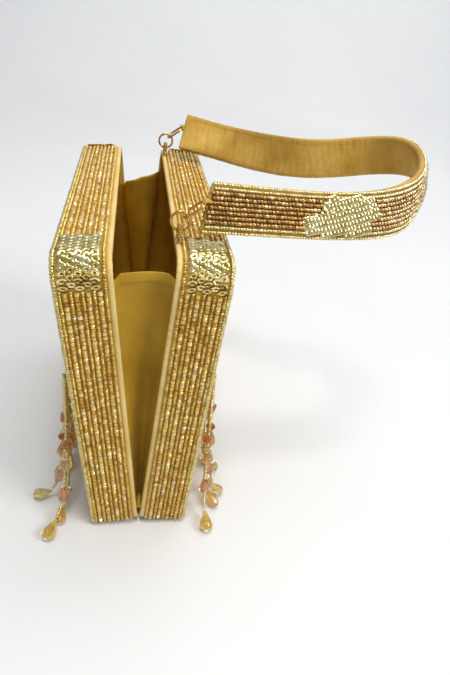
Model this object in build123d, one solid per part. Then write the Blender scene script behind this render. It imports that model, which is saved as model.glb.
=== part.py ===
from build123d import *
import os
from math import cos, radians, sin

# Evening bag: two rigid beaded half shells, hinged along their bottom inner edges and
# standing a little open, with a stiff beaded handle folded over to the right shell's side.
# Millimetres. +X runs across the opening, +Y along the hinge, +Z up. The origin is on the
# table, under the middle of the hinge line.

# ---- driving dimensions ----
LENGTH = 187.0            # shell, along the hinge
HEIGHT = 160.0            # shell, bottom edge to top edge
DEPTH = 25.0              # one shell, rim to outer face
OPENING = 9.3             # degrees between the two rims as it stands
TILT = OPENING / 2        # lean of each shell
TOP_CORNER = 12.0         # corner radius of the face outline
BOTTOM_CORNER = 5.0
RIM_GAP = 0.25            # half of the gap between the closed rims

BEADING = 2.2             # bead-covered fabric round the side band
FACE_BEADING = 2.0        # bead-covered fabric on the outer face
PADDING = 1.5             # foam under the face
BOARD = 2.0               # stiff board of the shell
LINING = 0.6              # satin
RIM_TURN = 0.8            # satin turned over the board's edge
BINDING_WIDTH = 3.0       # satin showing on the outside of the rim
BINDING_DROP = 1.0        # the satin lies this much below the bead tops
EDGE_CORD = 3.0           # beaded cord along the outer edge
CORD_BEVEL = 0.6
FOOT = 0.08               # the cord is worn flat by this much where it stands

SEQUIN_LAYER = 0.8
SEQUIN_ALONG_TOP = {-1: 27.0, 1: 11.0}   # near and far corner
SEQUIN_DOWN_END = 14.0
SEQUIN_FROM, SEQUIN_TO = 5.0, 20.5

MAGNET = (5.0, 12.0, 1.6)  # depth, length, thickness
MAGNET_Y = 26.0
MAGNET_BACK = 0.8          # behind the board's edge

GUSSET = 0.7
GUSSET_TOP = 147.5
GUSSET_BOTTOM = 9.0
GUSSET_FLAP = 8.0         # glued inside each shell
GLUE_LINE = 0.05
HINGE_STRIP = 0.5
HINGE_OVERLAP = 1.0       # past the middle, so that the two halves meet
HINGE_SHORT = 3.0         # shorter than the inside of the shells

RING_Y = 70.0             # the two ring loops, either side of the middle
LOOP_U = 1.6              # loop centre, in from the rim plane
LOOP_WIRE = 1.1
LOOP_HALF = 2.5
LOOP_RISE = 6.6
RING_WIRE = 0.6
LOWER_RING = 4.2          # radius to the wire's centre
UPPER_HALF = 3.6          # half width of the oval ring, to the wire's centre
UPPER_REACH = 11.0        # between its two bearing points
UPPER_LEAN = 53.0         # degrees from upright
GRIP_LEAN = 30.0          # where the oval ring holds the lower one, from upright
RING_PLAY = 0.4

STRAP_WIDTH = 21.0
STRAP_CLEARANCE = 0.5     # above the right shell's top
STRAP_END = 68.0          # centre line at both ends, either side of the middle
STRAP_ROUTE = [           # centre line between the ends, as the folded handle lies
    (71, -63), (110, -59), (136, -40), (147, -6), (128, 17), (92, 25), (58, 54)]
STRAP_STEPS = 40
STRAP_CORE = 1.6
STRAP_BEADING = 2.0
STRAP_LINING = 0.6
TAB_EYE = 1.6
TAB_ROUND = 3.4
TAB_LENGTH = 7.0
TAB_THICKNESS = 4.0
STRAP_PATCH = (69.0, 105.0)  # sequins on the near leg, from and to in X
STRAP_PATCH_WIDTH = 13.0

FRINGE_TOP = 90.0         # height of the beaded header on the face
FRINGE_HEADER = (2.0, 4.0)
FRINGE_GAP = 1.0          # header to strands
TASSEL_COUNT = 7
TASSEL_PITCH = 24.0
TASSEL_WIDTH = 8.0
TASSEL_THICK = 2.0
TASSEL_SPLAY = 10.0       # the lowest beads spread outwards on the table
TASSEL_CLEAR = 1.2        # above the table

# ---- worked out ----
HINGE_Z = DEPTH * sin(radians(TILT))
LINING_INSET = BEADING + BOARD + LINING
FACE_BOARD_BACK = DEPTH - FACE_BEADING - PADDING
STRAP_THICKNESS = STRAP_CORE + STRAP_BEADING + STRAP_LINING


def shell_point(u, v):
    """World X and Z of a point of the right shell: u from the rim outwards, v up the face."""
    lean = radians(TILT)
    return u * cos(lean) + v * sin(lean), HINGE_Z + v * cos(lean) - u * sin(lean)


def outline(inset):
    """The face outline, set in all round."""
    face = Plane.YZ * Pos(0, HEIGHT / 2) * Rectangle(LENGTH - 2 * inset, HEIGHT - 2 * inset)
    rows = face.vertices().group_by(Axis.Z)
    face = fillet(rows[-1], max(TOP_CORNER - inset, 0.5))
    rows = face.vertices().group_by(Axis.Z)
    return fillet(rows[0], max(BOTTOM_CORNER - inset, 0.4))


def slab(inset, start, end):
    """A full plate of the shell's outline between two depths."""
    return Pos(start, 0, 0) * extrude(outline(inset), amount=end - start, dir=(1, 0, 0))


def wall(outer, inner, start, end):
    """A wall round the shell between two insets and two depths."""
    return slab(outer, start, end) - slab(inner, start - 1, end + 1)


def magnet_blocks():
    """Two closing magnets in the top wall."""
    middle = HEIGHT - BEADING - BOARD / 2
    centre_u = RIM_TURN + MAGNET_BACK + MAGNET[0] / 2
    return [Pos(centre_u, y, middle) * Box(*MAGNET) for y in (-MAGNET_Y, MAGNET_Y)]


def shell_board():
    """Stiff tray: one face plate and four walls, with pockets for the magnets."""
    tray = slab(BEADING, RIM_TURN, FACE_BOARD_BACK)
    tray -= slab(BEADING + BOARD, RIM_TURN - 1, FACE_BOARD_BACK - BOARD)
    for block in magnet_blocks():
        tray -= block
    return tray


def satin_lining():
    """Satin tray inside the board."""
    back = FACE_BOARD_BACK - BOARD
    tray = slab(BEADING + BOARD, RIM_TURN, back)
    return tray - slab(LINING_INSET, RIM_TURN - 1, back - LINING)


def rim_binding():
    """Satin turned over the board's edge and down its outside."""
    turn = wall(BINDING_DROP, LINING_INSET, RIM_GAP, RIM_TURN)
    side = wall(BINDING_DROP, BEADING, RIM_TURN, BINDING_WIDTH)
    return turn + side


def sequin_patches():
    """A thin sequin layer wrapped over each top corner of the side band."""
    layer = wall(0, SEQUIN_LAYER, SEQUIN_FROM, SEQUIN_TO)
    middle_u = (SEQUIN_FROM + SEQUIN_TO) / 2
    patches = []
    for side in (-1, 1):
        corner = Pos(middle_u, side * LENGTH / 2, HEIGHT)
        patches.append(layer & corner * Box(DEPTH, 2 * SEQUIN_ALONG_TOP[side], 2 * SEQUIN_DOWN_END))
    return patches


def band_cover():
    """Bead-covered fabric round the side band, with room for the sequins."""
    cover = wall(0, BEADING, BINDING_WIDTH, DEPTH - EDGE_CORD)
    for patch in sequin_patches():
        cover -= patch
    return cover


def edge_cord():
    """Beaded cord round the outer edge, worn flat where the bag stands."""
    cord = wall(0, BEADING, DEPTH - EDGE_CORD, DEPTH)
    outer_rim = cord.faces().sort_by(Axis.X)[-1].outer_wire()
    return chamfer(outer_rim.edges(), CORD_BEVEL)


def face_parts():
    """Foam and bead-covered fabric on the outer face."""
    padding = slab(BEADING, FACE_BOARD_BACK, FACE_BOARD_BACK + PADDING)
    cover = slab(BEADING, DEPTH - FACE_BEADING, DEPTH)
    return padding, cover


def fringe_header():
    """Beaded braid across the face that the tassels hang from."""
    thick, tall = FRINGE_HEADER
    along = (TASSEL_COUNT - 1) * TASSEL_PITCH + TASSEL_WIDTH
    return Pos(DEPTH + thick / 2, 0, FRINGE_TOP + tall / 2) * Box(thick, along, tall)


def ring_loop(y):
    """Bead-wrapped fabric loop standing on the rim binding."""
    foot = HEIGHT - BINDING_DROP
    top = foot + LOOP_RISE
    path = FilletPolyline(
        (LOOP_U, y - LOOP_HALF, foot), (LOOP_U, y - LOOP_HALF, top),
        (LOOP_U, y + LOOP_HALF, top), (LOOP_U, y + LOOP_HALF, foot), radius=2.0)
    section = Plane(origin=path @ 0, z_dir=path % 0) * Circle(LOOP_WIRE)
    return sweep(section, path=path)


def lean_over(solid):
    """From the shell's own frame to where the right shell stands."""
    return Pos(0, 0, HINGE_Z) * Rot(0, TILT, 0) * solid


def save(name, *solids):
    """Write one node, as one solid or as a group of separate solids."""
    shape = solids[0] if len(solids) == 1 else Compound(children=list(solids))
    shape.label = name
    export_step(shape, f"parts/{name}.step")


def build_shell(side):
    """All pieces of one shell; side is right, or left for its mirror image."""
    padding, cover = face_parts()
    pieces = {
        "shell_board": [shell_board()],
        "satin_lining": [satin_lining()],
        "rim_binding": [rim_binding()],
        "band_cover": [band_cover()],
        "sequin_patches": sequin_patches(),
        "edge_cord": [edge_cord()],
        "face_padding": [padding],
        "face_cover": [cover],
        "fringe_header": [fringe_header()],
        "magnets": magnet_blocks(),
    }
    below = Pos(0, 0, FOOT - DEPTH / 2) * Box(4 * DEPTH, 2 * LENGTH, DEPTH)
    for name, solids in pieces.items():
        placed = [lean_over(solid) for solid in solids]
        if name == "edge_cord":
            placed = [solid - below for solid in placed]
        if side == "left":
            placed = [mirror(solid, about=Plane.YZ) for solid in placed]
        save(f"{side}_{name}", *[Pos(0, 0, -FOOT) * solid for solid in placed])


def build_fabric_between():
    """Hinge strip and end gussets, which cross from shell to shell."""
    floor = LINING_INSET
    half = Pos(GUSSET_FLAP / 2 - HINGE_OVERLAP / 2, 0, floor + HINGE_STRIP / 2)
    half = lean_over(half * Box(GUSSET_FLAP + HINGE_OVERLAP, LENGTH - 2 * LINING_INSET - HINGE_SHORT, HINGE_STRIP))
    strip = half + mirror(half, about=Plane.YZ)
    save("fabric_hinge", strip)

    top = shell_point(GUSSET_FLAP, GUSSET_TOP)
    low = shell_point(GUSSET_FLAP, GUSSET_BOTTOM)
    middle = shell_point(0, GUSSET_BOTTOM)
    points = [top, low, (0, middle[1]), (-low[0], low[1]), (-top[0], top[1])]
    panel = Plane.XZ * make_face(Polyline(points, close=True))
    panel = extrude(panel, amount=GUSSET, dir=(0, 1, 0))
    inner = LENGTH / 2 - LINING_INSET - GLUE_LINE
    save("near_gusset", Pos(0, -inner, 0) * panel)
    save("far_gusset", Pos(0, inner - GUSSET, 0) * panel)


def ring_points():
    """In X and Z: the loop's wire, the lower ring's centre, and the pivots of oval ring and handle."""
    loop = shell_point(LOOP_U, HEIGHT - BINDING_DROP + LOOP_RISE)
    hang = LOWER_RING - RING_WIRE - LOOP_WIRE - RING_PLAY
    centre = (loop[0], loop[1] + hang)
    pull = LOWER_RING - 2 * RING_WIRE - RING_PLAY
    grip = (centre[0] + pull * sin(radians(GRIP_LEAN)), centre[1] + pull * cos(radians(GRIP_LEAN)))
    lean = radians(UPPER_LEAN)
    eye = (grip[0] + UPPER_REACH * sin(lean), grip[1] + UPPER_REACH * cos(lean))
    return loop, centre, grip, eye


def build_rings():
    """A small round ring in each loop, and an oval ring from it to the handle."""
    loop, centre, grip, eye = ring_points()
    lower = Plane.XZ * Pos(centre[0], centre[1]) * Circle(LOWER_RING)
    path = lower.edges()[0]
    ring = sweep(Plane(origin=path @ 0, z_dir=path % 0) * Circle(RING_WIRE), path=path)

    oval = SlotOverall(UPPER_REACH, 2 * UPPER_HALF).face().outer_wire()
    section = Plane(origin=oval @ 0, z_dir=oval % 0) * Circle(RING_WIRE)
    flat_oval = sweep(section, path=oval)
    middle = ((grip[0] + eye[0]) / 2, (grip[1] + eye[1]) / 2)
    upper = Pos(middle[0], 0, middle[1]) * Rot(0, UPPER_LEAN - 90, 0) * flat_oval

    for name, y in (("near", -RING_Y), ("far", RING_Y)):
        save(f"{name}_ring_loop", Pos(0, 0, -FOOT) * lean_over(ring_loop(y)))
        save(f"{name}_lower_ring", Pos(0, y, -FOOT) * ring)
        save(f"{name}_upper_ring", Pos(0, y, -FOOT) * upper)
    print("pivots (x, z):", loop, grip, eye)


def strap_line(start):
    """Centre line of the strap, from its near end round to its far end."""
    points = [(start, -STRAP_END)] + STRAP_ROUTE + [(start, STRAP_END)]
    return Spline(*points, tangents=[(1, 0), (-1, 0)])


def beside(line, distance):
    """A line at a distance outwards from the strap's centre line."""
    points = []
    for step in range(STRAP_STEPS + 1):
        place = line @ (step / STRAP_STEPS)
        along = line % (step / STRAP_STEPS)
        points.append((place.X + along.Y * distance, place.Y - along.X * distance))
    return Spline(*points)


def strap_layer(line, inner, outer, base, top):
    """One layer of the strap, between two distances from its centre line."""
    outside = beside(line, outer)
    inside = beside(line, inner)
    area = make_face([outside, Line(outside @ 1, inside @ 1), inside, Line(inside @ 0, outside @ 0)])
    return extrude(Pos(0, 0, base) * area, amount=top - base, dir=(0, 0, 1))


def build_handle():
    """Stiff strap with a beaded outside, a satin inside and an eye tab at each end."""
    eye = ring_points()[-1]
    base = shell_point(LOOP_U, HEIGHT)[1] + STRAP_CLEARANCE
    top = base + STRAP_WIDTH
    start = eye[0] + TAB_LENGTH
    edges = [
        -STRAP_THICKNESS / 2,
        -STRAP_THICKNESS / 2 + STRAP_LINING,
        -STRAP_THICKNESS / 2 + STRAP_LINING + STRAP_CORE,
        STRAP_THICKNESS / 2,
    ]
    line = strap_line(start)
    lining = strap_layer(line, edges[0], edges[1], base, top)
    core = strap_layer(line, edges[1], edges[2], base, top)
    cover = strap_layer(line, edges[2], edges[3], base, top)
    patch_from, patch_to = STRAP_PATCH
    patch_base = (base + top - STRAP_PATCH_WIDTH) / 2
    patch = strap_layer(line, edges[3] - SEQUIN_LAYER, edges[3], patch_base, patch_base + STRAP_PATCH_WIDTH)
    middle = Pos((patch_from + patch_to) / 2, -STRAP_END, (base + top) / 2)
    patch = patch & middle * Box(patch_to - patch_from, STRAP_END, STRAP_WIDTH)
    save("handle_satin_lining", lining)
    save("handle_core", core)
    save("handle_beaded_cover", cover - patch)
    save("handle_sequin_patch", patch)

    for name, y in (("near", -RING_Y), ("far", RING_Y)):
        round_end = Plane.XZ * Pos(eye[0], eye[1]) * Circle(TAB_ROUND)
        corners = [(eye[0], eye[1] - TAB_ROUND), (start, base), (start, top), (eye[0], eye[1] + TAB_ROUND)]
        body = Plane.XZ * make_face(Polyline(corners, close=True))
        hole = Plane.XZ * Pos(eye[0], eye[1]) * Circle(TAB_EYE)
        plate = extrude(round_end + body - hole, amount=TAB_THICKNESS / 2, both=True)
        save(f"handle_{name}_tab", Pos(0, y, -FOOT) * plate)


def build_fringes():
    """Rows of bead tassels that hang from the header on each face."""
    x, z = shell_point(DEPTH + FRINGE_HEADER[0], FRINGE_TOP)
    inner = x + FRINGE_GAP
    corners = [
        (inner, z), (inner + TASSEL_THICK, z),
        (inner + TASSEL_THICK + TASSEL_SPLAY, TASSEL_CLEAR), (inner, TASSEL_CLEAR)]
    tassel = extrude(Plane.XZ * make_face(Polyline(corners, close=True)), amount=TASSEL_WIDTH / 2, both=True)
    print("fringe hinge (x, z):", inner, z)
    for index in range(TASSEL_COUNT):
        y = (index - (TASSEL_COUNT - 1) / 2) * TASSEL_PITCH
        placed = Pos(0, y, 0) * tassel
        save(f"right_tassel_{index + 1}", placed)
        save(f"left_tassel_{index + 1}", mirror(placed, about=Plane.YZ))


os.makedirs("parts", exist_ok=True)
build_shell("right")
build_shell("left")
build_fabric_between()
build_rings()
build_handle()
build_fringes()
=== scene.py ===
import bpy
import numpy as np
from math import cos, pi, radians, sin
from mathutils import Matrix


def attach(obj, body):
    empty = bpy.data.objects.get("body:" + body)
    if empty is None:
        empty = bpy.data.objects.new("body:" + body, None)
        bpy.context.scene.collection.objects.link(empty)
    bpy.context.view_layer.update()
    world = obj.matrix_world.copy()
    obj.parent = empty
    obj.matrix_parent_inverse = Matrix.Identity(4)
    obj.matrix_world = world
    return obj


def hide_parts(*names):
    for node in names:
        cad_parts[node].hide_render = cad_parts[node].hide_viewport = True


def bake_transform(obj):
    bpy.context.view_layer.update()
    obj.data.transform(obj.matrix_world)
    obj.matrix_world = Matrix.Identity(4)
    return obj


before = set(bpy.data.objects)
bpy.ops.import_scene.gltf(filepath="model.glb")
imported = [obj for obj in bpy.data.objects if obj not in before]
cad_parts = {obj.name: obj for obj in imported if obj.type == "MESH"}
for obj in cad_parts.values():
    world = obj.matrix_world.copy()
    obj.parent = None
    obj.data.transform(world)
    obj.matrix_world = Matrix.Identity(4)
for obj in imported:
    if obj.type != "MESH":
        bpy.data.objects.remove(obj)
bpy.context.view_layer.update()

# Looks of the beaded evening bag. Shapes are worked out in millimetres, in each shell's own
# frame (depth from the rim, along the hinge, up the face) or in the world, and stored in metres.

MM = 0.001

# ---- sizes shared with the CAD, in millimetres ----
LENGTH, HEIGHT, DEPTH = 187.0, 160.0, 25.0
TILT = radians(4.65)
FOOT = 0.08
TOP_CORNER, BOTTOM_CORNER = 12.0, 5.0
WALL = 4.8                  # beading, board and lining together
LINING_DEPTH = 18.9         # rim to the inside of the face
HINGE_Z = DEPTH * sin(TILT) - FOOT
SIDES = {"right": 1.0, "left": -1.0}
FRINGE_TOP, FRINGE_X = 90.0, 35.2
TASSEL_COUNT, TASSEL_PITCH = 7, 24.0
RING_Y, LOOP_U, LOOP_TOP, LOOP_HALF = 70.0, 1.6, 165.6, 2.5
EYE = (25.10, 177.84)       # handle pivot, X and Z

# ---- bead sizes and spacing ----
ROW_FIRST, ROW_PITCH, ROW_COUNT = 3.75, 2.33, 9
SEED = (1.70, 1.32)         # diameter and pitch along the thread
CUT = (2.05, 2.15)
EDGE_SEED = (1.55, 1.40)
GAP = 0.96                  # bead length as a share of the pitch
SIZE_SPREAD, SEAT_SPREAD = 0.08, 0.03   # how unlike the beads on one thread are
TURN_SPREAD, ROLL_SPREAD, TONE_SPREAD = 0.11, 0.35, 0.22
SEQUIN = 4.5                # diameter
SEQUIN_ZONE = (5.4, 22.4, 14.5)         # depth from and to, down the end
SEQUIN_ALONG = {"near": 26.0, "far": 10.0}
SEQUIN_COLUMNS, SEQUIN_PITCH = 5, 3.1


# ---------------------------------------------------------------- meshes

def add_piece(name, shape, material, body, replaced, smooth=True, flip=False):
    """One mesh object from a shape: points in millimetres, arrays of faces and perhaps tones."""
    points, faces, *tones = shape
    faces = [np.asarray(group) for group in faces]
    if flip:
        faces = [group[:, ::-1] for group in faces]
    sizes = np.concatenate([np.full(len(group), group.shape[1]) for group in faces])
    mesh = bpy.data.meshes.new(name)
    mesh.vertices.add(len(points))
    mesh.vertices.foreach_set("co", (np.asarray(points) * MM).astype(np.float32).ravel())
    corners = np.concatenate([group.ravel() for group in faces])
    mesh.loops.add(len(corners))
    mesh.loops.foreach_set("vertex_index", corners.astype(np.int32))
    mesh.polygons.add(len(sizes))
    starts = np.concatenate([[0], np.cumsum(sizes)[:-1]])
    mesh.polygons.foreach_set("loop_start", starts.astype(np.int32))
    mesh.update(calc_edges=True)
    mesh.validate()
    mesh.polygons.foreach_set("use_smooth", np.full(len(mesh.polygons), smooth))
    if tones:
        layer = mesh.attributes.new("tone", "FLOAT", "POINT")
        layer.data.foreach_set("value", np.asarray(tones[0], dtype=np.float32))
    mesh.materials.append(material)
    piece = bpy.data.objects.new(name, mesh)
    bpy.context.scene.collection.objects.link(piece)
    if body:
        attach(piece, body)
    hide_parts(*replaced)
    return piece


def grid(rows, columns, closed=False, joined=False):
    """Quads of a grid of points; closed joins the last column to the first, joined the rows."""
    across = np.arange(columns if closed else columns - 1)
    down = np.arange(rows if joined else rows - 1)
    row, column = [part.ravel() for part in np.meshgrid(down, across, indexing="ij")]
    next_row = (row + 1) % rows
    next_column = (column + 1) % columns
    return np.stack([
        row * columns + column, row * columns + next_column,
        next_row * columns + next_column, next_row * columns + column], axis=1)


def lathe(profile, segments):
    """Closed surface of revolution about the first axis, from (along, radius) pairs."""
    angles = np.arange(segments) * 2 * pi / segments
    points = np.array([
        (along, radius * cos(angle), radius * sin(angle))
        for along, radius in profile for angle in angles])
    faces = [grid(len(profile), segments, closed=True)]
    first = np.arange(segments)[None, :]
    last = first[:, ::-1] + (len(profile) - 1) * segments
    return points, faces + [first, last]


def disc_template(segments=12):
    """A dished sequin with a centre hole; its axis is the third one."""
    rings = [(0.065, -0.01), (0.28, -0.015), (0.5, 0.012), (0.5, 0.0), (0.28, -0.035), (0.065, -0.03)]
    angles = np.arange(segments) * 2 * pi / segments
    points = np.array([
        (radius * cos(angle), radius * sin(angle), height)
        for radius, height in rings for angle in angles])
    return points, [grid(len(rings), segments, closed=True, joined=True)[:, ::-1]]


ROUND_BEAD = lathe([(-0.46, 0.22), (-0.30, 0.46), (0.0, 0.5), (0.30, 0.46), (0.46, 0.22)], 8)
SMALL_BEAD = lathe([(-0.46, 0.26), (-0.22, 0.5), (0.22, 0.5), (0.46, 0.26)], 6)
CUT_BEAD = lathe([(-0.47, 0.40), (-0.38, 0.5), (0.38, 0.5), (0.47, 0.40)], 6)
BICONE = lathe([(-0.5, 0.14), (-0.06, 0.5), (0.06, 0.5), (0.5, 0.14)], 8)
BARREL = lathe([(-0.5, 0.30), (-0.36, 0.48), (0.0, 0.5), (0.36, 0.48), (0.5, 0.30)], 7)
DROP = lathe([(-0.5, 0.08), (-0.30, 0.22), (0.02, 0.43), (0.24, 0.5), (0.40, 0.40), (0.5, 0.16)], 9)
CAPSULE = lathe([(-0.5, 0.15), (-0.4, 0.42), (0.4, 0.42), (0.5, 0.15)], 5)
DISC = disc_template()


def unit(vectors):
    return vectors / np.linalg.norm(vectors, axis=-1, keepdims=True)


def copies(template, centres, along, up, sizes, tones):
    """Many copies of a template, each with its own place, axes, size and tone."""
    shape, faces = template
    count = len(centres)
    across = unit(np.cross(along, up))
    up = np.cross(across, along)
    axes = np.stack([along * sizes[:, :1], up * sizes[:, 1:2], across * sizes[:, 2:3]], axis=1)
    points = centres[:, None, :] + np.einsum("pk,nkj->npj", shape, axes)
    offsets = np.arange(count) * len(shape)
    groups = [(group[None] + offsets[:, None, None]).reshape(-1, group.shape[1]) for group in faces]
    return points.reshape(-1, 3), groups, np.repeat(tones, len(shape))


def merge(parts):
    """Several sets of points, faces and tones as one."""
    points, faces, tones, offset = [], [], [], 0
    for part_points, groups, part_tones in parts:
        points.append(part_points)
        faces += [group + offset for group in groups]
        tones.append(part_tones)
        offset += len(part_points)
    return np.concatenate(points), faces, np.concatenate(tones)


def strung(template, centres, along, up, size, seed, tone_range=(0, 1)):
    """Beads on a thread, each a little different in size, seat and tone."""
    rng = np.random.default_rng(seed)
    count = len(centres)
    diameter, length = size
    sizes = np.tile([length, diameter, diameter], (count, 1))
    sizes = sizes * rng.uniform(1 - SIZE_SPREAD, 1 + SIZE_SPREAD, (count, 3))
    along = unit(along + rng.normal(0, TURN_SPREAD, (count, 3)))
    up = unit(up + rng.normal(0, ROLL_SPREAD, (count, 3)))
    centres = centres + rng.normal(0, SEAT_SPREAD * diameter, (count, 3))
    low, high = tone_range
    tones = rng.normal((low + high) / 2, TONE_SPREAD * (high - low), count)
    return copies(template, centres, along, up, sizes, np.clip(tones, low, high))


def columns(first, second, third, count):
    """An array of three columns, each a number or an array."""
    return np.stack([np.broadcast_to(part, count) for part in (first, second, third)], axis=1)


def ripple(first, second, size, seed):
    """Soft waviness between about -1 and 1 over two coordinates."""
    rng = np.random.default_rng(seed)
    total = np.zeros(np.broadcast(first, second).shape)
    for _ in range(7):
        angle, phase = rng.uniform(0, pi), rng.uniform(0, 2 * pi)
        rate = 2 * pi / size * rng.uniform(0.6, 1.6)
        total = total + np.sin((first * cos(angle) + second * sin(angle)) * rate + phase)
    return total / 4


def distances(path):
    """Distance along a path to each of its points."""
    return np.concatenate([[0], np.cumsum(np.linalg.norm(np.diff(path, axis=0), axis=1))])


def between(places, run, values):
    """Rows of values at places between the distances in run."""
    return np.stack([np.interp(places, run, column) for column in values.T], axis=1)


def smooth_curve(knots, count):
    """Natural cubic spline through evenly spaced knots."""
    knots = np.asarray(knots, dtype=float)
    size = len(knots)
    system = 4 * np.eye(size) + np.eye(size, k=1) + np.eye(size, k=-1)
    system[0] = system[-1] = 0
    system[0, 0] = system[-1, -1] = 1
    right = np.zeros_like(knots)
    right[1:-1] = 6 * (knots[2:] - 2 * knots[1:-1] + knots[:-2])
    bend = np.linalg.solve(system, right)
    place = np.linspace(0, size - 1, count)
    index = np.minimum(place.astype(int), size - 2)
    near = (place - index)[:, None]
    far = 1 - near
    return (far * knots[index] + near * knots[index + 1]
            + ((far ** 3 - far) * bend[index] + (near ** 3 - near) * bend[index + 1]) / 6)


# ---------------------------------------------------------------- shell frame

def to_world(points, side):
    """From a shell's own frame to where that shell stands."""
    u, y, v = np.asarray(points).T
    x = u * cos(TILT) + v * sin(TILT)
    z = HINGE_Z + v * cos(TILT) - u * sin(TILT)
    return np.stack([x * SIDES[side], y, z], axis=1)


def outline(inset, step):
    """Even points (y, v) round the face outline, set in by inset, with outward normals."""
    half = LENGTH / 2
    corners = []
    for y, v, corner, angle in (
            (half, 0.0, BOTTOM_CORNER, -90), (half, HEIGHT, TOP_CORNER, 0),
            (-half, HEIGHT, TOP_CORNER, 90), (-half, 0.0, BOTTOM_CORNER, 180)):
        middle = np.array([y - corner * np.sign(y), v - corner if v > 0 else corner])
        corners.append((middle, corner - inset, radians(angle)))
    runs = []
    for index, (middle, radius, angle) in enumerate(corners):
        next_middle, next_radius, _ = corners[(index + 1) % 4]
        direction = np.array([cos(angle + pi / 2), sin(angle + pi / 2)])
        begin = middle + radius * direction
        end = next_middle + next_radius * direction
        runs.append(("arc", radius * pi / 2, middle, radius, angle))
        runs.append(("line", np.linalg.norm(end - begin), begin, end, direction))
    total = sum(run[1] for run in runs)
    count = int(round(total / step))
    places = (np.arange(count) + 0.5) * total / count
    points, normals = np.zeros((count, 2)), np.zeros((count, 2))
    done = 0.0
    for kind, length, first, second, third in runs:
        inside = (places >= done) & (places < done + length)
        part = (places[inside] - done)[:, None] / length
        if kind == "arc":
            angles = third + part * pi / 2
            normals[inside] = np.hstack([np.cos(angles), np.sin(angles)])
            points[inside] = first + second * normals[inside]
        else:
            normals[inside] = third
            points[inside] = first + part * (second - first)
        done += length
    return points, normals


def row_round(template, depth, inset, size, seed, skip=None):
    """A thread of beads round the side band at one depth."""
    diameter, pitch = size
    places, normals = outline(inset, pitch)
    count = len(places)
    along = columns(0.0, -normals[:, 1], normals[:, 0], count)
    up = columns(0.0, normals[:, 0], normals[:, 1], count)
    centres = columns(depth, places[:, 0], places[:, 1], count)
    if skip is not None:
        keep = ~skip(centres)
        centres, along, up = centres[keep], along[keep], up[keep]
    return strung(template, centres, along, up, (diameter, pitch * GAP), seed)


def under_sequins(points):
    """Whether points of the side band lie under a corner's sequins."""
    start, end, down_end = SEQUIN_ZONE
    along_top = np.where(points[:, 1] < 0, SEQUIN_ALONG["near"], SEQUIN_ALONG["far"])
    return ((points[:, 0] > start - 0.6) & (points[:, 0] < end + 0.6)
            & (np.abs(points[:, 1]) > LENGTH / 2 - along_top) & (points[:, 2] > HEIGHT - down_end))


def swept(section, step, wobble=0.0, seed=1, wave=3.0):
    """A strip round the outline; its section is (inset, depth) pairs, pushed out by a wobble."""
    places, normals = outline(0.0, step)
    run = np.arange(len(places)) * step
    rows = []
    for index, (inset, depth) in enumerate(section):
        push = wobble * ripple(run, np.full(len(run), index * 1.3), wave, seed)
        ring = places - normals * (inset - push)[:, None]
        rows.append(columns(depth - 0.5 * push, ring[:, 0], ring[:, 1], len(run)))
    points = np.concatenate(rows)
    return points, [grid(len(section), len(places), closed=True)]


# ---------------------------------------------------------------- materials

def new_material(name, **values):
    """A Principled material with its own sockets set directly."""
    material = bpy.data.materials.new(name)
    material.use_nodes = True
    shader = material.node_tree.nodes["Principled BSDF"]
    for key, value in values.items():
        shader.inputs[key.replace("_", " ")].default_value = value
    return material, shader


def link(material, source, target):
    material.node_tree.links.new(source, target)


def add_node(material, kind, **values):
    node = material.node_tree.nodes.new(kind)
    for key, value in values.items():
        node.inputs[key.replace("_", " ")].default_value = value
    return node


def ramp_from(material, source, stops):
    """A colour ramp fed by a socket."""
    ramp = add_node(material, "ShaderNodeValToRGB")
    elements = ramp.color_ramp.elements
    while len(elements) < len(stops):
        elements.new(0.5)
    for element, (place, colour) in zip(elements, stops):
        element.position = place
        element.color = (*colour, 1)
    link(material, source, ramp.inputs["Fac"])
    return ramp.outputs["Color"]


def noise(material, scale, detail=3.0):
    """Object-space noise; scale is in waves per metre."""
    place = add_node(material, "ShaderNodeTexCoord")
    texture = add_node(material, "ShaderNodeTexNoise", Scale=scale, Detail=detail, Roughness=0.55)
    link(material, place.outputs["Object"], texture.inputs["Vector"])
    return texture.outputs["Fac"]


def bump(material, shader, source, distance, strength, below=None):
    """Bump in metres from a height socket, over another bump if one is given."""
    node = add_node(material, "ShaderNodeBump", Strength=strength, Distance=distance)
    link(material, source, node.inputs["Height"])
    if below is not None:
        link(material, below, node.inputs["Normal"])
    link(material, node.outputs["Normal"], shader.inputs["Normal"])
    return node.outputs["Normal"]


def darkened(material, share, colour, by):
    """A colour socket multiplied by another, as far as the share says."""
    node = add_node(material, "ShaderNodeMix", Factor=share)
    node.data_type = "RGBA"
    node.blend_type = "MULTIPLY"
    link(material, colour, node.inputs[6])
    link(material, by, node.inputs[7])
    return node.outputs[2]


def added(material, first, second):
    node = add_node(material, "ShaderNodeMath")
    node.operation = "ADD"
    link(material, first, node.inputs[0])
    link(material, second, node.inputs[1])
    return node.outputs[0]


def tone_colours(material, stops):
    """Colour by each bead's own tone."""
    tone = add_node(material, "ShaderNodeAttribute")
    tone.attribute_name = "tone"
    return ramp_from(material, tone.outputs["Fac"], stops)


def bead_material(name, stops, **values):
    """Coloured glass or metal beads: colour from each bead's tone, clouded a little."""
    material, shader = new_material(name, **values)
    colour = tone_colours(material, stops)
    cloud = ramp_from(material, noise(material, 260.0), [(0.3, (0.80, 0.76, 0.70)), (0.7, (1, 1, 1))])
    colour = darkened(material, 0.8, colour, cloud)
    link(material, colour, shader.inputs["Base Color"])
    return material


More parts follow.
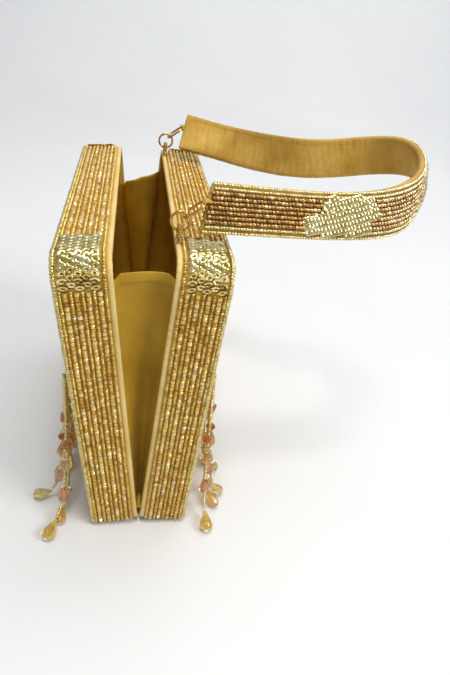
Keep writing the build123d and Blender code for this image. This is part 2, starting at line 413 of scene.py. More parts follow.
def satin_material(name, dark, light):
    """Satin with a fine weave, a soft sheen and uneven colour."""
    material, shader = new_material(
        name, Roughness=0.42, Sheen_Weight=0.12, Sheen_Roughness=0.35, Specular_IOR_Level=0.25)
    shader.inputs["Specular Tint"].default_value = (1.0, 0.80, 0.42, 1)
    shader.inputs["Sheen Tint"].default_value = (1.0, 0.78, 0.34, 1)
    colour = ramp_from(material, noise(material, 45.0, 4.0), [(0.30, dark), (0.68, light)])
    place = add_node(material, "ShaderNodeTexCoord")
    heights = []
    for direction in ("X", "Z", "Y"):
        wave = add_node(material, "ShaderNodeTexWave", Scale=WAVE_SCALE / WEAVE, Distortion=1.2)
        wave.inputs["Detail Scale"].default_value = 60.0
        wave.bands_direction = direction
        link(material, place.outputs["Object"], wave.inputs["Vector"])
        heights.append(wave.outputs["Fac"])
    total = added(material, added(material, heights[0], heights[1]), heights[2])
    shade = ramp_from(material, total, [(0.25, (0.86, 0.84, 0.80)), (0.9, (1, 1, 1))])
    link(material, darkened(material, 0.7, colour, shade), shader.inputs["Base Color"])
    soft = bump(material, shader, noise(material, 160.0, 2.0), 0.0006, 0.35)
    bump(material, shader, total, 0.00008, 0.5, below=soft)
    return material


def plain_material(name, dark, light, scale, **values):
    """A finish with uneven colour and a slight grain."""
    material, shader = new_material(name, **values)
    source = noise(material, scale, 4.0)
    colour = ramp_from(material, source, [(0.3, dark), (0.7, light)])
    link(material, colour, shader.inputs["Base Color"])
    bump(material, shader, noise(material, scale * 5), 0.0002, 0.25)
    return material


WEAVE = 0.00032             # thread spacing of the satin, in metres
WAVE_SCALE = 0.314          # a wave texture's scale times its wavelength
SEED_STOPS = [
    (0.00, (0.44, 0.22, 0.02)), (0.25, (0.62, 0.36, 0.035)), (0.55, (0.76, 0.50, 0.08)),
    (0.80, (0.86, 0.66, 0.18)), (1.00, (0.94, 0.84, 0.42))]
CUT_STOPS = [
    (0.00, (0.48, 0.20, 0.02)), (0.22, (0.68, 0.36, 0.04)), (0.45, (0.80, 0.51, 0.09)),
    (0.65, (0.84, 0.58, 0.20)), (0.82, (0.87, 0.64, 0.32)), (1.00, (0.94, 0.80, 0.38))]
PALE_STOPS = [(0.0, (0.62, 0.42, 0.09)), (0.4, (0.82, 0.64, 0.22)), (1.0, (0.95, 0.86, 0.52))]
COPPER_STOPS = [
    (0.00, (0.28, 0.12, 0.02)), (0.35, (0.48, 0.26, 0.06)), (0.65, (0.68, 0.44, 0.17)),
    (1.00, (0.94, 0.76, 0.44))]
SEQUIN_STOPS = [(0.0, (0.62, 0.50, 0.17)), (0.5, (0.80, 0.68, 0.30)), (1.0, (0.92, 0.84, 0.48))]
CRYSTAL_STOPS = [
    (0.00, (0.62, 0.20, 0.01)), (0.25, (0.92, 0.42, 0.03)), (0.50, (0.90, 0.52, 0.28)),
    (0.75, (0.95, 0.66, 0.14)), (1.00, (0.98, 0.86, 0.46))]

seed_beads = bead_material(
    "seed_beads", SEED_STOPS, Metallic=0.6, Roughness=0.26, Coat_Weight=0.5, Coat_Roughness=0.05)
cut_beads = bead_material(
    "cut_beads", CUT_STOPS, Metallic=0.5, Roughness=0.20, Coat_Weight=0.6, Coat_Roughness=0.04)
pale_beads = bead_material(
    "pale_beads", PALE_STOPS, Metallic=0.7, Roughness=0.22, Coat_Weight=0.2, Coat_Roughness=0.05)
copper_beads = bead_material(
    "copper_beads", COPPER_STOPS, Metallic=0.7, Roughness=0.20, Coat_Weight=0.3, Coat_Roughness=0.05)
sequin_metal = bead_material(
    "sequins", SEQUIN_STOPS, Metallic=0.95, Roughness=0.20, Coat_Weight=0.2, Coat_Roughness=0.04)
crystal_glass = bead_material(
    "crystal_glass", CRYSTAL_STOPS, Metallic=0.0, Roughness=0.03, Transmission_Weight=0.85, IOR=1.55,
    Coat_Weight=0.5)
base_cloth = plain_material(
    "bead_ground", (0.48, 0.28, 0.02), (0.70, 0.45, 0.07), 240.0, Roughness=0.7, Sheen_Weight=0.1)
strap_cloth = plain_material(
    "strap_ground", (0.16, 0.085, 0.012), (0.30, 0.17, 0.03), 240.0, Roughness=0.75)
rim_satin = satin_material("rim_satin", (0.66, 0.47, 0.15), (0.84, 0.63, 0.26))
lining_satin = satin_material("lining_satin", (0.62, 0.37, 0.032), (0.78, 0.51, 0.065))
# gusset_satin is the lining satin darkened: painted shade for the recessed near gusset; the far gusset, of
# the same cloth, uses lining_satin
gusset_satin = satin_material("gusset_satin", (0.34, 0.185, 0.012), (0.48, 0.285, 0.030))
strap_satin = satin_material("strap_satin", (0.42, 0.23, 0.026), (0.66, 0.42, 0.10))
thread = plain_material("thread", (0.46, 0.30, 0.09), (0.60, 0.42, 0.15), 900.0, Roughness=0.6)
gilt = plain_material(
    "gilt_metal", (0.50, 0.26, 0.06), (0.72, 0.42, 0.13), 350.0, Metallic=1.0, Roughness=0.18)
board = plain_material("board", (0.40, 0.34, 0.26), (0.52, 0.46, 0.36), 300.0, Roughness=0.9)
foam = plain_material("foam", (0.80, 0.77, 0.68), (0.90, 0.88, 0.80), 800.0, Roughness=0.95)
steel = plain_material(
    "magnet", (0.55, 0.55, 0.56), (0.72, 0.72, 0.73), 300.0, Metallic=1.0, Roughness=0.3)


# ---------------------------------------------------------------- shells

def add_shell_piece(side, part, shape, material, replaced, smooth=True, turned=False):
    """A piece on one shell, from a shape in that shell's own frame; turned reverses its faces."""
    points, *rest = shape
    add_piece(f"{side}_{part}", (to_world(points, side), *rest), material, f"{side}_shell",
              [f"{side}_{replaced}"], smooth, flip=(side == "left") != turned)


def add_cloth_and_beads(side, part, ground, threads, turned=False):
    """The cloth ground of a covered surface and its threads of seed beads and cut beads."""
    cover = f"{part}_cover"
    add_shell_piece(side, f"{part}_ground", ground, base_cloth, cover, turned=turned)
    add_shell_piece(side, f"{part}_seed_rows", merge(threads[0]), seed_beads, cover)
    add_shell_piece(side, f"{part}_cut_rows", merge(threads[1]), cut_beads, cover,
                    smooth=False)


def build_band(side, seed):
    """Bead-covered side band: cloth ground and nine threads of beads."""
    depths = [ROW_FIRST + ROW_PITCH * index for index in range(ROW_COUNT)]
    section = [(2.1, 2.6), (1.75, 3.2)]
    for depth in depths:
        section += [(1.55, depth), (2.15, depth + ROW_PITCH / 2)]
    section += [(1.6, 23.6), (2.1, 24.3)]
    threads = ([], [])
    for index, depth in enumerate(depths):
        template, inset, size = ((ROUND_BEAD, 1.15, SEED), (CUT_BEAD, 1.2, CUT))[index % 2]
        threads[index % 2].append(row_round(template, depth, inset, size, seed + index, under_sequins))
    add_cloth_and_beads(side, "band", swept(section, 3.0), threads, turned=True)


def build_edge(side, seed):
    """Three threads of small pale beads along the outer edge."""
    rows = [row_round(SMALL_BEAD, depth, inset, EDGE_SEED, seed + index)
            for index, (depth, inset) in enumerate(((23.75, 1.0), (24.55, 1.75), (24.2, 2.9)))]
    add_shell_piece(side, "edge_beads", merge(rows), pale_beads, "edge_cord")


def build_rim(side, seed):
    """Satin turned over the rim, lightly puckered."""
    section = [(4.95, 3.4), (4.7, 2.4), (4.1, 1.4), (3.3, 0.75), (2.5, 0.42), (2.05, 0.38),
               (1.6, 0.65), (1.35, 1.15), (1.35, 1.9), (1.6, 2.6), (2.2, 3.0)]
    points, faces = swept(section, 0.6, wobble=0.2, seed=seed, wave=2.6)
    points[:, 0] = np.maximum(points[:, 0], 0.26)
    add_shell_piece(side, "rim_satin", (points, faces), rim_satin, "rim_binding", turned=True)


def build_lining(side, seed):
    """Satin glued inside the shell, with slight slack over the face."""
    places, normals = outline(WALL, 2.0)
    count = len(places)
    run = np.arange(count) * 2.0
    rows = []
    for depth in np.linspace(0.7, LINING_DEPTH - 1.2, 10):
        push = 0.14 * ripple(run, np.full(count, depth * 3), 26.0, seed)
        ring = places - normals * (0.12 + push)[:, None]
        rows.append(columns(depth, ring[:, 0], ring[:, 1], count))
    middle = np.array([0.0, HEIGHT / 2])
    for index, scale in enumerate(np.linspace(1.0, 0.03, 26)):
        rise = 0.45 if index == 0 else 0.0
        ring = middle + (places - normals * (0.8 if index == 0 else 1.2) - middle) * scale
        push = 0.30 * (1 - scale) * ripple(ring[:, 0], ring[:, 1], 45.0, seed + 1) + rise
        rows.append(columns(LINING_DEPTH - 0.25 - np.abs(push), ring[:, 0], ring[:, 1], count))
    faces = [grid(len(rows), count, closed=True), (np.arange(count) + (len(rows) - 1) * count)[None]]
    add_shell_piece(side, "lining_satin", (np.concatenate(rows), faces), lining_satin,
                    "satin_lining", turned=True)


def face_span(y, inset):
    """Lowest and highest point of the outline at one place along the hinge."""
    half = LENGTH / 2 - inset
    spans = []
    for radius in (BOTTOM_CORNER - inset, TOP_CORNER - inset):
        past = max(abs(y) - (half - radius), 0.0)
        spans.append(radius - (radius ** 2 - min(past, radius) ** 2) ** 0.5)
    return inset + spans[0], HEIGHT - inset - spans[1]


def build_face(side, seed):
    """Outer face: cloth ground and upright threads of beads from edge to edge."""
    places, _ = outline(2.4, 2.5)
    count = len(places)
    middle = np.array([0.0, HEIGHT / 2])
    rows = []
    for scale, sunk in ((1.0, 1.6), (0.99, 0.9), (0.5, 0.9)):
        ring = middle + (places - middle) * scale
        rows.append(columns(DEPTH - sunk, ring[:, 0], ring[:, 1], count))
    faces = [grid(3, count, closed=True), (np.arange(count) + 2 * count)[None]]
    threads = ([], [])
    last = int((LENGTH - 6) / ROW_PITCH) // 2
    for index in range(-last, last + 1):
        y = index * ROW_PITCH
        low, high = face_span(y, 3.4)
        template, (diameter, pitch) = (CUT_BEAD, CUT) if index % 2 else (SMALL_BEAD, SEED)
        heights = np.arange(low + pitch / 2, high, pitch)
        total = len(heights)
        centres = columns(DEPTH - 0.78, y, heights, total)
        along, up = columns(0.0, 0.0, 1.0, total), columns(1.0, 0.0, 0.0, total)
        threads[index % 2].append(
            strung(template, centres, along, up, (diameter * 0.95, pitch * GAP), seed + index + 200))
    add_cloth_and_beads(side, "face", (np.concatenate(rows), faces), threads)


def build_sequins(side, seed):
    """Overlapped sequins wrapped over both top corners of the side band."""
    rng = np.random.default_rng(seed)
    start, end, down_end = SEQUIN_ZONE
    spare = 0.2                 # how far the outer columns reach past the zone
    parts = []
    for column in range(SEQUIN_COLUMNS):
        share = column / (SEQUIN_COLUMNS - 1)
        depth = start + SEQUIN / 2 - spare + share * (end - start - SEQUIN + 2 * spare)
        places, normals = outline(0.35, SEQUIN_PITCH / 2)
        places, normals = places[column % 2::2], normals[column % 2::2]
        along_top = np.where(places[:, 0] < 0, SEQUIN_ALONG["near"], SEQUIN_ALONG["far"])
        inside = np.abs(places[:, 0]) > LENGTH / 2 - along_top + 1
        inside &= places[:, 1] > HEIGHT - down_end + 0.4
        places, normals = places[inside], normals[inside]
        count = len(places)
        tangents = np.stack([-normals[:, 1], normals[:, 0]], axis=1)
        downward = np.sign(places[:, 0])[:, None] * tangents * -1.0
        along = columns(rng.normal(0, 0.08, count), downward[:, 0], downward[:, 1], count)
        up = columns(rng.normal(0, 0.06, count), normals[:, 0], normals[:, 1], count)
        lean = (rng.normal(0.17, 0.03, count) + 0.36 * np.abs(normals[:, 0]))[:, None]
        normal = unit(up + lean * unit(along))
        along = unit(along - lean * up)
        across = np.cross(normal, along)
        centres = columns(depth + rng.normal(0, 0.12, count), places[:, 0], places[:, 1], count)
        centres += up * rng.uniform(-0.05, 0.1, count)[:, None]
        sizes = np.full((count, 3), SEQUIN) * rng.uniform(0.96, 1.06, (count, 1))
        parts.append(copies(DISC, centres, along, across, sizes, rng.uniform(0, 1, count)))
    add_shell_piece(side, "corner_sequins", merge(parts), sequin_metal, "sequin_patches")


for number, side_name in enumerate(SIDES):
    first_seed = 50 * number        # the two sides draw different random numbers
    build_band(side_name, first_seed + 11)
    build_edge(side_name, first_seed + 31)
    build_rim(side_name, first_seed + 41)
    build_lining(side_name, first_seed + 51)
    build_face(side_name, 500 + 300 * number)
    build_sequins(side_name, first_seed + 71)


# ---------------------------------------------------------------- fabric between the shells

FLAP = 8.0                  # glued inside each shell
GUSSET_LOW, GUSSET_TOP = 9.0, 147.0


def build_gusset(name, y, satin, depths, lean, roundness, folds, top_rise, seed):
    """Satin panel from shell to shell, glued inside both, bowed inwards and hemmed on top."""
    outward = np.sign(y)
    across = np.linspace(-1, 1, 81)
    rows = []
    for part in np.linspace(0, 1, 71):
        v = GUSSET_LOW + part * (GUSSET_TOP - GUSSET_LOW)
        x = across * (FLAP * cos(TILT) + v * sin(TILT))
        rim_x = v * sin(TILT) + 0.5
        share = np.clip(x / rim_x, -1, 1)
        free = np.clip(1 - share ** 2, 0, 1)
        push = np.interp(part, (0, 0.45, 1), depths) * free ** roundness * (1 + lean * share)
        push += folds * part * free * ripple(x, np.full(len(x), v * 0.10), 12.0, seed)
        push += 0.18 * free * ripple(x, np.full(len(x), v), 24.0, seed + 1)
        z = HINGE_Z + v * cos(TILT) - np.clip(np.abs(x) - v * sin(TILT), 0, None) * sin(TILT)
        z = z + part ** 6 * np.interp(share, (-1, -0.8, 0, 0.8, 1), top_rise)
        rows.append(np.stack([x, y - outward * push, z], axis=1))
    hem = rows[-1].copy()
    hem[:, 1] += outward * 0.5
    tucked = rows[-3].copy()
    tucked[:, 1] += outward * 0.55
    rows += [hem + [0, 0, 0.25], hem + [0, outward * 0.35, -0.2], tucked]
    shape = np.concatenate(rows), [grid(len(rows), len(across))]
    gusset = add_piece(f"{name}_gusset_satin", shape, satin, None, [f"{name}_gusset"], flip=y > 0)
    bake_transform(gusset)


def build_hinge():
    """Satin strip over the inside of the hinge."""
    half = LENGTH / 2 - WALL - 1.6
    lengths = np.linspace(-half, half, 90)
    rows = []
    for x in np.linspace(-8.4, 8.4, 19):
        u = np.abs(x)
        v = WALL + 0.35 + 0.08 * ripple(lengths, np.full(90, x * 2), 14.0, 77)
        side_x = u * cos(TILT) + v * sin(TILT)
        z = HINGE_Z + v * cos(TILT) - u * sin(TILT)
        blend = np.clip(u / 1.5, 0, 1)
        rows.append(np.stack([np.sign(x) * side_x * blend, lengths, z - 0.2 * (1 - blend)], axis=1))
    strip = add_piece("hinge_satin", (np.concatenate(rows), [grid(19, 90)]), lining_satin, None,
                      ["fabric_hinge"], flip=True)
    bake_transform(strip)


GUSSET_Y = LENGTH / 2 - WALL - 0.6
# The near gusset takes gusset_satin, painted shade on the same satin that the far gusset takes as
# lining_satin
build_gusset("near", -GUSSET_Y, gusset_satin, depths=(9.0, 9.0, 3.2), lean=0.5, roundness=0.6, folds=0.3,
             top_rise=(0.6, 3.4, 3.6, 3.4, 2.0), seed=5)
build_gusset("far", GUSSET_Y, lining_satin, depths=(3.0, 11.0, 23.0), lean=0.2, roundness=0.28, folds=1.2,
             top_rise=(-14.0, -8.5, -2.5, 0.5, -1.0), seed=9)
build_hinge()


# ---------------------------------------------------------------- ring loops

def build_loop(name, y):
    """Loop of cord wrapped in small beads, standing on the rim."""
    rising = [(LOOP_HALF + 0.3, 158.5), (LOOP_HALF, 162.0), (LOOP_HALF * 0.8, 164.8)]
    knots = [(y - out, height) for out, height in rising] + [(y, LOOP_TOP)]
    knots += [(y + out, height) for out, height in reversed(rising)]
    path = smooth_curve(knots, 19)
    tangents = unit(np.gradient(path, axis=0))
    centres, along, up = [], [], []
    for index, (place, tangent) in enumerate(zip(path, tangents)):
        side = np.array([0.0, -tangent[1], tangent[0]])
        for turn in range(5):
            angle = 2 * pi * (turn + 0.5 * (index % 2)) / 5
            outward = np.array([cos(angle), 0, 0]) + sin(angle) * side
            centres.append(np.array([LOOP_U, *place]) + 0.78 * outward)
            along.append(np.cross(outward, [0.0, tangent[0], tangent[1]]))
            up.append(outward)
    points, faces, tone = strung(SMALL_BEAD, np.array(centres), np.array(along), np.array(up),
                                 (0.95, 1.0), 900 + int(y > 0))
    add_piece(f"{name}_loop_beads", (to_world(points, "right"), faces, tone), seed_beads, "right_shell",
              [f"{name}_ring_loop"])


build_loop("near", -RING_Y)
build_loop("far", RING_Y)


# ---------------------------------------------------------------- strap

STRAP_Z, STRAP_WIDTH = 174.2, 21.6
STRAP_OUT, STRAP_IN = 1.2, -2.5     # cloth under the beads, and the lining, from the centre line
STRAP_KNOTS = [                     # X, Y, rise and lean in degrees at even steps along the strap
    (26.4, -68.5, 1, -27), (70, -63, -2, -33), (110, -59, -1, -23), (136, -40, 5, -6), (147, -6, 12, -26),
    (128, 17, 7, -4), (92, 25, 1, 4), (57, 55, -2, 34), (26.4, 68.5, 1, 30)]
STRAP_TONES = ((0, 45, 90, 130), (-0.22, -0.10, 0.30, 0.40))    # distance along, change of tone
NEAR_SLANT = 2.6            # how far the near end's cut runs past square at its lower edge
SEQUIN_LOBES = [(67.0, 2.2, 13.5, 5.6), (60.0, -4.8, 15.5, 4.4)]   # along, across, half sizes


class Strap:
    """The strap's centre line with its across and outward directions."""

    def __init__(self):
        knots = smooth_curve(STRAP_KNOTS, 900)
        centre = knots[:, :3] + [0, 0, STRAP_Z]
        self.run = distances(centre)
        self.length = self.run[-1]
        tangent = unit(np.gradient(centre, axis=0))
        side = unit(np.cross(tangent, [0.0, 0.0, 1.0]))
        top = np.cross(side, tangent)
        lean = np.radians(knots[:, 3])[:, None]
        width = top * np.cos(lean) + side * np.sin(lean)
        outward = unit(np.cross(tangent, width))
        self.rows = [centre, tangent, width, outward]

    def at(self, places):
        """Centre, tangent, across and outward vectors at distances along the strap."""
        centre, *vectors = [between(places, self.run, row) for row in self.rows]
        tangent, width, outward = [unit(vector) for vector in vectors]
        return [centre + tangent * np.minimum(places, 0)[:, None], tangent, width, outward]

    def end(self, at_end):
        """The same four vectors at one end of the strap."""
        return [row[0] for row in self.at(np.array([self.length if at_end else 0.0]))]

    def slanted(self, across, step):
        """Distances along the strap at one height, from the slanted near end to the far end."""
        start = NEAR_SLANT * across / (STRAP_WIDTH / 2)
        return np.linspace(start, self.length, int(self.length / step))


strap = Strap()


def strap_strip(section, step, wobble=0.0, seed=3):
    """A strip along the strap; its section is (across, outward) pairs."""
    count = int(strap.length / step)
    rows = []
    for across, out in section:
        places = strap.slanted(across, step)
        centre, _, width, outward = strap.at(places)
        push = wobble * ripple(places, np.full(count, across * 0.6), 5.0, seed)
        crease = np.clip(ripple(places, np.full(count, across * 0.25), 9.0, seed + 1), 0, 1)
        push += 1.4 * wobble * crease ** 2
        rows.append(centre + width * across + outward * (out + push)[:, None])
    points = np.concatenate(rows)
    return points, [grid(len(section), count)]


def in_patch(along, across):
    """Whether a place on the strap lies in the ragged sequin patch."""
    edge = 1 + 0.16 * np.sin(along * 0.9 + across * 1.7)
    inside = [((along - middle) / half_length) ** 4 + ((across - level) / half_width) ** 4 < edge
              for middle, level, half_length, half_width in SEQUIN_LOBES]
    return inside[0] | inside[1]


def build_strap_cover():
    """Cloth ground and lengthwise threads of beads on the strap's outside."""
    half = STRAP_WIDTH / 2
    section = [(half - 0.2, -1.0), (half + 0.15, 0.0), (half - 0.4, 0.9), (half - 1.2, STRAP_OUT),
               (0.0, STRAP_OUT), (-half + 1.2, STRAP_OUT), (-half + 0.4, 0.9), (-half - 0.15, 0.0),
               (-half + 0.2, -1.0)]
    cover = ["handle_beaded_cover", "handle_core"]
    add_piece("strap_ground", strap_strip(section, 2.0), strap_cloth, "handle", cover)
    rows = {"copper": [], "pale": []}
    offsets = np.linspace(-half + 0.3, half - 0.7, 11)
    for index, across in enumerate(offsets):
        edge = index in (0, 1, 9, 10)
        template = SMALL_BEAD if edge else CUT_BEAD
        diameter, pitch = (1.45, 1.35) if edge else (1.75, 1.7)
        start = strap.slanted(across, pitch)[0] + 0.3 + (index % 2) * pitch / 2
        places = np.arange(start, strap.length - 0.3, pitch)
        places = places[~in_patch(places, across)]
        centre, tangent, width, outward = strap.at(places)
        out = STRAP_OUT + (0.15 if edge else 0.45) - (0.6 if index in (0, 10) else 0)
        centres = centre + width * across + outward * out
        points, faces, tone = strung(template, centres, tangent, outward, (diameter, pitch * 0.97),
                                     600 + index, tone_range=(0.25, 1) if edge else (0, 1))
        paler = np.interp(places, *STRAP_TONES)
        tone = np.clip(tone + np.repeat(paler, len(template[0])), 0, 1)
        rows["pale" if edge else "copper"].append((points, faces, tone))
    for name, material in (("copper", copper_beads), ("pale", pale_beads)):
        add_piece(f"strap_{name}_beads", merge(rows[name]), material, "handle", cover)


def build_strap_lining():
    """Satin inside with turned edges, cross creases and two lines of topstitching."""
    half = STRAP_WIDTH / 2
    section = [(half - 1.0, 0.5), (half + 0.25, 0.1), (half + 0.45, -0.9), (half + 0.15, -2.2),
               (half - 0.9, STRAP_IN), (half - 2.1, STRAP_IN + 0.12)]
    section += [(across, STRAP_IN - 0.05) for across in np.linspace(half - 4, -half + 4, 8)]
    section += [(-half + 2.1, STRAP_IN + 0.12), (-half + 0.9, STRAP_IN), (-half + 0.2, -2.1),
                (-half + 0.1, -0.8), (-half + 0.4, -0.2), (-half + 1.2, 0.3)]
    lining = strap_strip(section, 0.7, wobble=0.17, seed=13)
    add_piece("strap_lining_satin", lining, strap_satin, "handle", ["handle_satin_lining"])
    centres, along, up = [], [], []
    for across in (half - 2.1, -half + 2.1):
        places = np.arange(2.0, strap.length - 2, 2.6)
        centre, tangent, width, outward = strap.at(places)
        centres.append(centre + width * across + outward * (STRAP_IN - 0.02))
        along.append(tangent)
        up.append(-outward)
    count = sum(len(part) for part in centres)
    stitches = copies(
        CAPSULE, np.concatenate(centres), np.concatenate(along), np.concatenate(up),
        np.tile([1.9, 0.42, 0.42], (count, 1)), np.zeros(count))
    add_piece("strap_stitches", stitches, thread, "handle", ["handle_satin_lining"])


def build_strap_sequins():
    """Slanting strings of overlapped sequins in an irregular patch."""
    rng = np.random.default_rng(77)
    parts = []
    middle = SEQUIN_LOBES[1][0]
    for index in range(9):
        places = np.arange(middle - 28, middle + 32, 1.7) + (index % 2) * 0.8
        across = -12.5 + index * 2.5 + 0.22 * (places - middle)
        keep = in_patch(places, across) & (np.abs(across) < STRAP_WIDTH / 2 - 1.5)
        places, across = places[keep], across[keep]
        if not len(places):
            continue
        count = len(places)
        centre, tangent, width, outward = strap.at(places)
        lean = rng.normal(0.40, 0.06, count)[:, None]
        normal = unit(outward - lean * tangent + rng.normal(0, 0.07, (count, 3)))
        along = unit(tangent + lean * outward)
        centres = centre + width * across[:, None] + outward * (STRAP_OUT + 0.85)
        sizes = np.full((count, 3), SEQUIN * 0.92)
        tones = rng.uniform(0.2, 1, count)
        parts.append(copies(DISC, centres, along, np.cross(normal, along), sizes, tones))
    add_piece("strap_sequins", merge(parts), sequin_metal, "handle", ["handle_sequin_patch"])


def build_strap_end(at_end):
    """Satin hem that closes one end of the strap."""
    centre, tangent, width, outward = strap.end(at_end)
    away = tangent if at_end else -tangent
    count = 28
    angles = np.linspace(0, 2 * pi, count, endpoint=False)
    ring = np.stack([np.sign(np.cos(angles)) * np.abs(np.cos(angles)) ** 0.35,
                     np.sign(np.sin(angles)) * np.abs(np.sin(angles)) ** 0.6], axis=1)
    rows = []
    for out, trim in ((-1.6, -0.25), (-1.3, 0.26), (-0.5, 0.30), (0.3, 0.15), (0.75, -0.5), (0.85, -1.3)):
        shape = ring * [STRAP_WIDTH / 2 + trim, 1.5 + trim]
        slant = 0.0 if at_end else NEAR_SLANT * shape[:, :1] / (STRAP_WIDTH / 2)
        rows.append(centre + away * (out - slant) + width * shape[:, :1] + outward * (shape[:, 1:] - 0.85))
    points = np.concatenate(rows)
    last = (np.arange(count) + (len(rows) - 1) * count)[None, ::-1]
    return points, [grid(len(rows), count, closed=True), last]


def build_tab(name, y, at_end):
    """Hemmed end of the strap with a satin loop round the oval ring."""
    centre, tangent, width, _ = strap.end(at_end)
    inside = centre + (-tangent if at_end else tangent) * 0.4
    eye = np.array([EYE[0], y, EYE[1]])
    root = inside + width * np.dot(eye - inside, width)
    pull = unit(eye - root)
    lift = unit(np.cross(pull, [0.0, 1.0, 0.0]))
    middle = (root + eye) / 2
    path = smooth_curve([
        root + lift * 1.5, middle + lift * 1.25, eye + lift * 1.05, eye + (lift + pull) * 0.85,
        eye + pull * 1.15, eye + (pull - lift) * 0.85, eye - lift * 1.05, middle - lift * 1.25,
        root - lift * 1.5], 33)
    outward = unit(np.cross(np.gradient(path, axis=0), [0.0, 1.0, 0.0]))
    rows = []
    section = ((-2.3, 0.0), (-2.5, 0.3), (-2.3, 0.6), (0.0, 0.66), (2.3, 0.6), (2.5, 0.3), (2.3, 0.0),
               (0.0, -0.05))
    for side, thick in section:
        rows.append(path + np.array([0.0, side, 0.0]) + outward * (thick - 0.3))
    points = np.concatenate(rows)
    loop = (points, [grid(len(rows), len(path), joined=True)], np.zeros(len(points)))
    hem_points, hem_faces = build_strap_end(at_end)
    if not at_end:
        hem_faces = [group[:, ::-1] for group in hem_faces]
    shape = merge([loop, (hem_points, hem_faces, np.zeros(len(hem_points)))])[:2]
    add_piece(f"{name}_tab_satin", shape, strap_satin, "handle", [f"handle_{name}_tab"])


build_strap_cover()
build_strap_lining()
build_strap_sequins()
build_tab("near", -RING_Y, False)
build_tab("far", RING_Y, True)


# ---------------------------------------------------------------- fringe

STRING_SEED = (1.85, 1.55)  # diameter and pitch
NEAR_ENDS = {               # where the nearest strings end on the table: X and Y
    "right": [(37.0, -104.5), (51.0, -75.0), (45.0, -86.0)],
    "left": [(49.5, -104.0), (61.0, -72.0), (43.0, -94.0)]}
RECIPES = [      # beads below the plain thread, from the header down: kind, length, diameter, tone
    [("bicone", 6.0, 5.6, 0.20), ("seed", 1), ("drop", 11.5, 7.4, 0.90), ("seed", 7),
     ("barrel", 8.5, 5.0, 0.50), ("seed", 6), ("drop", 13.0, 7.0, 0.80)],
    [("barrel", 5.5, 4.2, 0.18), ("seed", 5), ("bicone", 5.5, 5.6, 0.10), ("drop", 10.5, 6.4, 0.75),
     ("seed", 8), ("barrel", 8.0, 4.8, 0.50), ("seed", 5), ("drop", 11.5, 6.0, 0.92)],
    [("bicone", 5.0, 4.8, 0.30), ("seed", 2), ("barrel", 8.0, 5.0, 0.25), ("seed", 8),
     ("barrel", 8.0, 4.8, 0.55), ("seed", 1), ("drop", 11.0, 5.8, 0.70)],
]
KINDS = {"seed": (ROUND_BEAD, "seed_beads"), "bicone": (BICONE, "crystal"),
         "barrel": (BARREL, "crystal"), "drop": (DROP, "crystal")}


def along_path(path, places):
    """Points and tangents at distances along a dense path."""
    run = distances(path)
    tangents = unit(np.gradient(path, axis=0))
    return between(places, run, path), unit(between(places, run, tangents))


def build_strand(path, recipe, seed):
    """Beads of one string; plain seed beads fill it from the header to the first glass bead."""
    diameter, pitch = STRING_SEED
    lengths = [item[1] * pitch if item[0] == "seed" else item[1] + 0.1 for item in recipe]
    plain = max(int((distances(path)[-1] - sum(lengths) - 1.0) / pitch), 1)
    stores = {"seed_beads": [], "crystal": []}
    place = 0.6
    for index, item in enumerate([("seed", plain)] + recipe):
        template, group = KINDS[item[0]]
        if item[0] == "seed":
            places = place + pitch * (np.arange(item[1]) + 0.5)
            place += pitch * item[1]
            size, tones = (diameter, pitch * GAP), (0.2, 1.0)
        else:
            places = np.array([place + item[1] / 2])
            place += item[1] + 0.1
            size, tones = (item[2], item[1]), (item[3] - 0.05, item[3] + 0.05)
        centres, tangents = along_path(path, places)
        up = unit(np.cross(tangents, [0.31, 0.95, 0.05]))
        stores[group].append(strung(template, centres, tangents, up, size, seed + index, tone_range=tones))
    return stores


def strand_path(start, end, sway):
    """From the header down beside the face, then outwards on the table."""
    x, y = start
    far_x, far_y = end
    knots = [(x, y, FRINGE_TOP - 0.6)]
    for share, height in ((0.04, 68.0), (0.10, 47.0), (0.20, 28.0), (0.36, 12.0), (0.64, 4.8), (1.0, 3.9)):
        knots.append((x + (far_x - x) * share, y + (far_y - y) * share + sway * sin(height / 14), height))
    return smooth_curve(knots, 400)


def build_tassel(side, number, seed):
    """Three strings of beads with glass drops."""
    rng = np.random.default_rng(seed)
    y = (number - (TASSEL_COUNT + 1) / 2) * TASSEL_PITCH
    stores = {"seed_beads": [], "crystal": []}
    for index, recipe in enumerate(RECIPES):
        start = (FRINGE_X + 1.4 + (index % 2) * 0.8, y + (index - 1) * 2.6)
        end = (start[0] + rng.uniform(8, 15), start[1] + (index - 1) * 5.0 + rng.uniform(-3, 3))
        if number == 1:
            end = NEAR_ENDS[side][index]
        path = strand_path(start, end, rng.normal(0, 0.8))
        path[:, 0] *= SIDES[side]
        order = recipe if (number + index) % 3 else recipe[1:]
        for group, parts in build_strand(path, order, seed + 10 * index).items():
            stores[group] += parts
    for group, material, slot, smooth in (
            ("seed_beads", pale_beads, "seed_beads", True),
            ("crystal", crystal_glass, "crystal_beads", False)):
        add_piece(f"{side}_strands_{number}_{group}", merge(stores[group]), material,
                  f"{side}_fringe", [f"{side}_tassel_{number}"], smooth)


def build_header(side, seed):
    """Braid of beads across the face that the strings hang from."""
    half = (TASSEL_COUNT - 1) * TASSEL_PITCH / 2 + 4.0
    parts = []
    for row, (out, height) in enumerate(((25.9, 91.0), (26.3, 92.9), (25.9, 90.2))):
        lengths = np.arange(-half + 0.8 * (row % 2), half, 1.9)
        count = len(lengths)
        centres = columns(out, lengths, height, count)
        along, up = columns(0.0, 1.0, 0.0, count), columns(1.0, 0.0, 0.0, count)
        parts.append(strung(ROUND_BEAD, centres, along, up, (2.0, 1.8), seed + row))
    add_shell_piece(side, "header_beads", merge(parts), pale_beads, "fringe_header")


for number, side_name in enumerate(SIDES):
    build_header(side_name, 1200 + 10 * number)
    for tassel in range(1, TASSEL_COUNT + 1):
        build_tassel(side_name, tassel, 1300 + 400 * number + 40 * tassel)


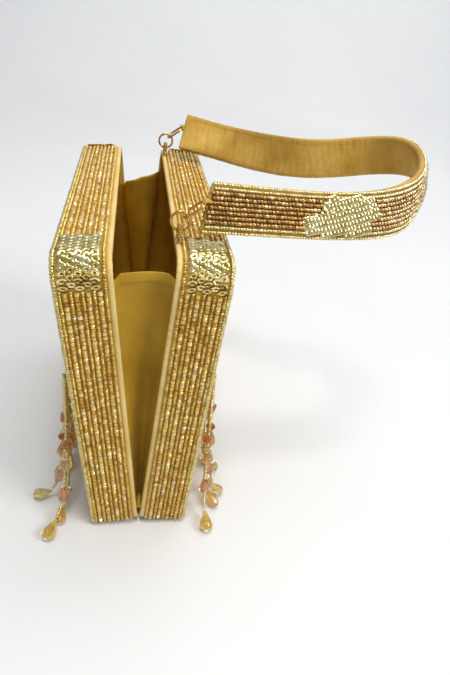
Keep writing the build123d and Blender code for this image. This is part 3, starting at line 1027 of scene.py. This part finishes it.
# ---------------------------------------------------------------- carried-over CAD nodes

CAD_FINISH = {
    "shell_board": board, "face_padding": foam, "magnets": steel, "lower_ring": gilt, "upper_ring": gilt}
for node_name, node_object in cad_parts.items():
    for ending, material in CAD_FINISH.items():
        if node_name.endswith(ending):
            for slot_entry in node_object.material_slots:
                slot_entry.material = material
            polygons = node_object.data.polygons
            polygons.foreach_set("use_smooth", [ending.endswith("ring")] * len(polygons))


# ---------------------------------------------------------------- floor, light and camera

CAMERA_PLACE = (-0.0050343, -0.2888594, 0.2527313)      # metres
CAMERA_TURN = (11.754, 32.566, 7.138)                   # yaw, pitch down and roll, in degrees
CAMERA_LENS = 28.61                                     # millimetres


def add_floor():
    """Pale table top that curves up into a backdrop behind the object."""
    back, radius, high, half = 0.9, 0.9, 3.0, 5.0
    angles = np.linspace(0, pi / 2, 25)
    bend = [(back + radius * sin(angle), radius * (1 - cos(angle))) for angle in angles]
    line = [(-5.0, 0.0)] + bend + [(back + radius, high)]
    points = [(x, y, z) for y, z in line for x in (-half, half)]
    mesh = bpy.data.meshes.new("floor")
    mesh.from_pydata(points, [], [tuple(face) for face in grid(len(line), 2)[:, ::-1].tolist()])
    mesh.polygons.foreach_set("use_smooth", [True] * len(mesh.polygons))
    floor = bpy.data.objects.new("floor", mesh)
    table = plain_material("table", (0.72, 0.73, 0.735), (0.76, 0.765, 0.765), 3.0, Roughness=0.6)
    mesh.materials.append(table)
    bpy.context.scene.collection.objects.link(floor)


def add_to_scene(name, data, place, right, up, back):
    """A camera or light with its own axes, in metres."""
    holder = bpy.data.objects.new(name, data)
    holder.matrix_world = Matrix([*zip(right, up, back, place), (0, 0, 0, 1)])
    bpy.context.scene.collection.objects.link(holder)
    return holder


def add_light(name, place, target, size, power, colour=(1, 1, 1)):
    """Soft area light aimed at a point, in metres."""
    light = bpy.data.lights.new(name, "AREA")
    light.size = size
    light.energy = power
    light.color = colour
    back = unit(np.array(place) - np.array(target))
    right = unit(np.cross([0.0, 0.0, 1.0], back))
    add_to_scene(name, light, place, right, np.cross(back, right), back)


def add_camera():
    """Camera above the near end, looking down along the bag."""
    yaw, pitch, roll = [radians(angle) for angle in CAMERA_TURN]
    forward = np.array([sin(yaw) * cos(pitch), cos(yaw) * cos(pitch), -sin(pitch)])
    level = np.array([cos(yaw), -sin(yaw), 0.0])
    upright = np.cross(level, forward)
    right = level * cos(roll) + upright * sin(roll)
    up = -level * sin(roll) + upright * cos(roll)
    data = bpy.data.cameras.new("camera")
    data.lens = CAMERA_LENS
    data.sensor_width = 36.0
    data.clip_start = 0.01
    bpy.context.scene.camera = add_to_scene("camera", data, CAMERA_PLACE, right, up, -forward)


def add_world():
    world = bpy.data.worlds.new("studio")
    world.use_nodes = True
    background = world.node_tree.nodes["Background"]
    background.inputs["Color"].default_value = (0.90, 0.94, 1.0, 1)
    background.inputs["Strength"].default_value = 0.44
    bpy.context.scene.world = world
    bpy.context.scene.view_settings.view_transform = "Standard"


add_floor()
add_world()
add_light("window", (1.0, -0.75, 1.1), (0, 0, 0.08), 0.6, 12.0, (1.0, 0.98, 0.95))
add_light("sky", (0.1, 0.3, 1.9), (0, 0.1, 0.05), 1.4, 5.5)
add_light("front", (0.0, -0.30, 1.25), (0, 0.04, 0.1), 0.25, 5.5, (1.0, 0.97, 0.92))
add_light("backdrop", (0.7, 0.6, 1.8), (0.8, 1.7, 0.5), 1.2, 13.0)
add_camera()
